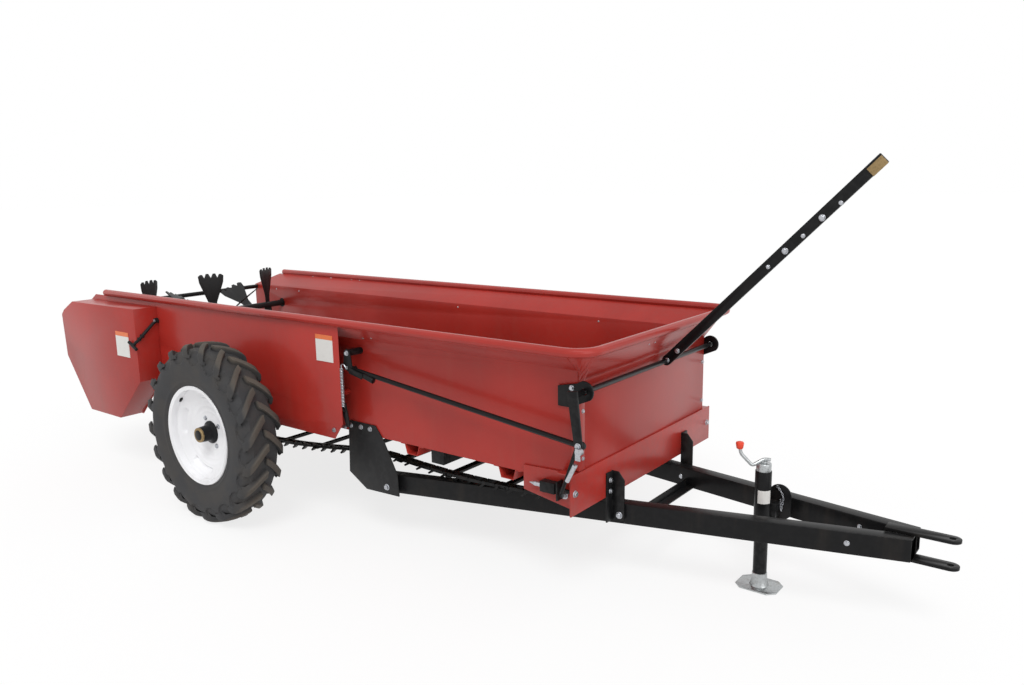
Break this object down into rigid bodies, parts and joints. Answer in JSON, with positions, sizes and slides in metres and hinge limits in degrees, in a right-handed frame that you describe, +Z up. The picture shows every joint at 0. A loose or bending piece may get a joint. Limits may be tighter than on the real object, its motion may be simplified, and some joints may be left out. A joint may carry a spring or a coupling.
{
  "type": "manure spreader",
  "caption": "Towed farm spreader: steel box on a wheeled axle with moving floor apron, rear beater, hinged chain guard, A-frame drawbar, swivel jack and hand lever.",
  "frame": {"origin": "on the ground, under the middle of the machine's overall box", "axes": "+X forward along the drawbar to the hitch, +Y to the machine's left, +Z up"},
  "size_m": [4.27, 1.709, 1.5142],
  "materials": {
    "red_paint": "semi-gloss",
    "black_paint": "gloss",
    "white_paint": "gloss",
    "tyre_rubber": "matte",
    "floor_boards": "matte",
    "zinc_plate": "satin",
    "chain_steel": "oiled"
  },
  "bodies": {
    "chassis": {"box_side_right": "red_paint", "box_side_left": "red_paint", "box_front": "red_paint", "top_rail": "red_paint", "sill_front": "red_paint", "sill_middle": "red_paint", "sill_rear": "red_paint", "front_channel": "red_paint", "outer_shield": "red_paint", "drawbar_rail_right": "black_paint", "drawbar_rail_left": "black_paint", "gusset_right": "black_paint", "gusset_left": "black_paint", "channel_bracket_right": "black_paint", "channel_bracket_left": "black_paint", "beater_bearing_right": "black_paint", "beater_bearing_left": "black_paint", "shaft_plate_right": "black_paint", "shaft_plate_left": "black_paint", "frame_strut": "black_paint", "cross_beam": "black_paint", "hitch_strap_upper": "black_paint", "hitch_strap_lower": "black_paint", "axle": "black_paint", "apron": "black_paint", "apron_idler_shaft": "black_paint", "apron_drive_shaft": "black_paint", "rear_bar": "black_paint", "jack_mount": "black_paint", "drive_chain": "chain_steel", "apron_drive_chain": "chain_steel", "floor": "floor_boards"},
    "wheel_right_set": {"tyre_right": "tyre_rubber", "wheel_right": "white_paint"},
    "wheel_left_set": {"tyre_left": "tyre_rubber", "wheel_left": "white_paint"},
    "beater": {"beater": "black_paint"},
    "lever": {"cross_shaft": "black_paint", "hand_lever": "black_paint"},
    "push_rod": {"push_rod": "black_paint"},
    "bell_crank": {"bell_crank": "black_paint"},
    "short_link": {"short_link": "zinc_plate"},
    "jack": {"jack_tube": "black_paint"},
    "jack_leg": {"jack_leg": "zinc_plate"},
    "jack_crank": {"jack_crank": "zinc_plate"},
    "guard": {"chain_guard": "red_paint"}
  },
  "joints": [
    {"name": "wheel_right_spin", "type": "hinge", "parent": "chassis", "child": "wheel_right_set", "pos_m": [-0.675, -0.762, 0.395], "axis": [0, 1, 0], "continuous": true},
    {"name": "wheel_left_spin", "type": "hinge", "parent": "chassis", "child": "wheel_left_set", "pos_m": [-0.675, 0.762, 0.395], "axis": [0, 1, 0], "continuous": true},
    {"name": "beater_spin", "type": "hinge", "parent": "chassis", "child": "beater", "pos_m": [-1.775, 0, 0.728], "axis": [0, 1, 0], "continuous": true},
    {"name": "lever_pivot", "type": "hinge", "parent": "chassis", "child": "lever", "pos_m": [1.069, 0, 0.761], "axis": [0, 1, 0], "range_deg": [-3, 15]},
    {"name": "push_rod_pivot", "type": "hinge", "parent": "lever", "child": "push_rod", "pos_m": [1.091, -0.558, 0.592], "axis": [0, 1, 0], "range_deg": [-16, 4]},
    {"name": "short_link_pivot", "type": "hinge", "parent": "lever", "child": "short_link", "pos_m": [1.091, -0.558, 0.592], "axis": [0, 1, 0], "range_deg": [-16, 4]},
    {"name": "bell_crank_pivot", "type": "hinge", "parent": "chassis", "child": "bell_crank", "pos_m": [-0.007, -0.558, 0.783], "axis": [0, 1, 0], "range_deg": [-8, 38]},
    {"name": "jack_swivel", "type": "hinge", "parent": "chassis", "child": "jack", "pos_m": [1.521, 0.055, 0.288], "axis": [0, 1, 0], "range_deg": [0, 90]},
    {"name": "jack_extend", "type": "slide", "parent": "jack", "child": "jack_leg", "axis": [0, 0, 1], "range_m": [0, 0.14]},
    {"name": "jack_crank_turn", "type": "hinge", "parent": "jack", "child": "jack_crank", "pos_m": [1.501, 0, 0.462], "axis": [0, 0, 1], "continuous": true},
    {"name": "guard_hinge", "type": "hinge", "parent": "chassis", "child": "guard", "pos_m": [-2.129, -0.5758, 0.68], "axis": [0, 0, -1], "range_deg": [0, 110]}
  ],
  "couplings": [
    {"joint": "push_rod_pivot", "follows": "lever_pivot", "ratio": -1},
    {"joint": "short_link_pivot", "follows": "lever_pivot", "ratio": -1},
    {"joint": "bell_crank_pivot", "follows": "lever_pivot", "ratio": 2.5}
  ]
}
